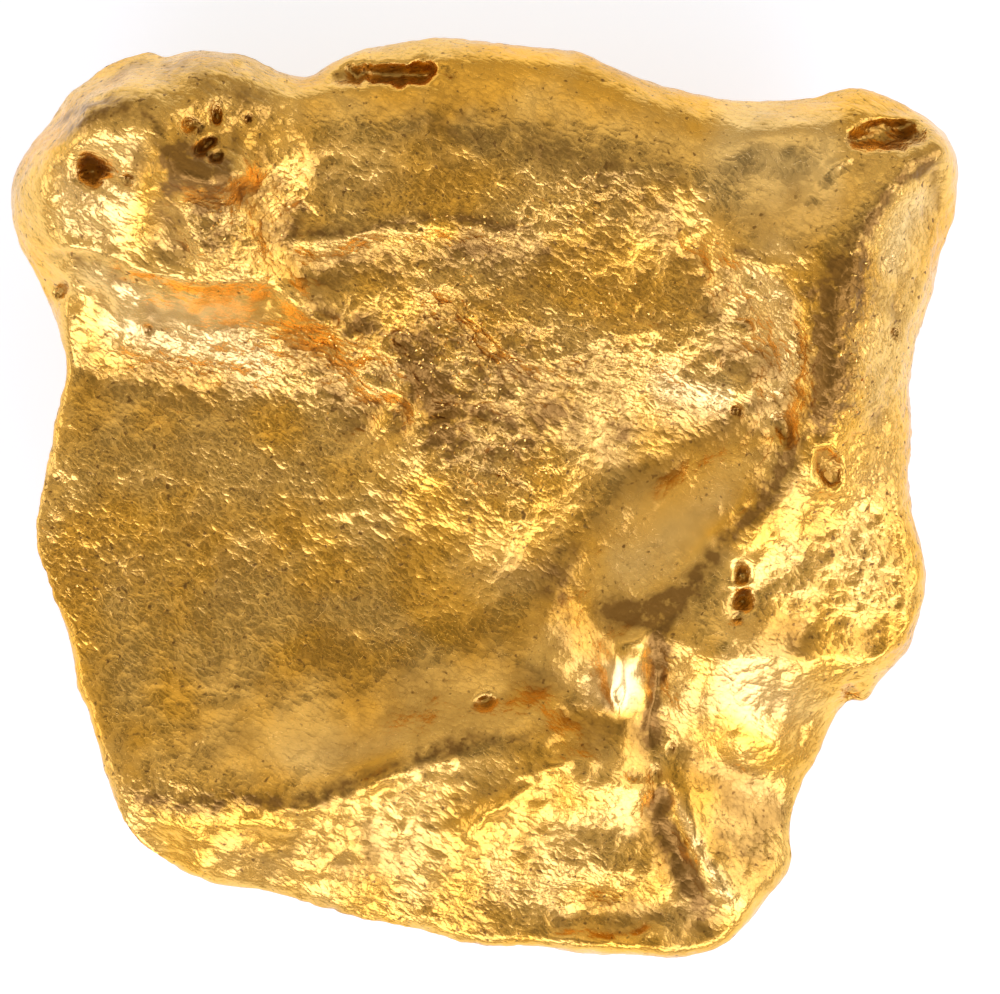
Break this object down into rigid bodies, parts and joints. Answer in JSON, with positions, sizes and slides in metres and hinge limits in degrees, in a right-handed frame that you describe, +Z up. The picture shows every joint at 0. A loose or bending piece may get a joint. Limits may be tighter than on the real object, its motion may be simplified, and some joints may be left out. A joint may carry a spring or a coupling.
{
  "type": "gold nugget",
  "caption": "Irregular squarish nugget of native gold with a rounded knob, ledges, pits and a high ridge around a broad hollow; lies on a worn flat underside.",
  "frame": {"origin": "middle of the bottom of the bounding box, on the worn flat that the nugget rests on", "axes": "+Z up from the resting flat, +Y towards the back edge with the long ledge, +X towards the high ridge"},
  "size_m": [0.0236, 0.023, 0.0091],
  "materials": {
    "native_gold": "naturally worn native gold, satin on the high parts and finely crinkled in the hollow"
  },
  "bodies": {
    "root": {"nugget": "native_gold"}
  },
  "joints": []
}
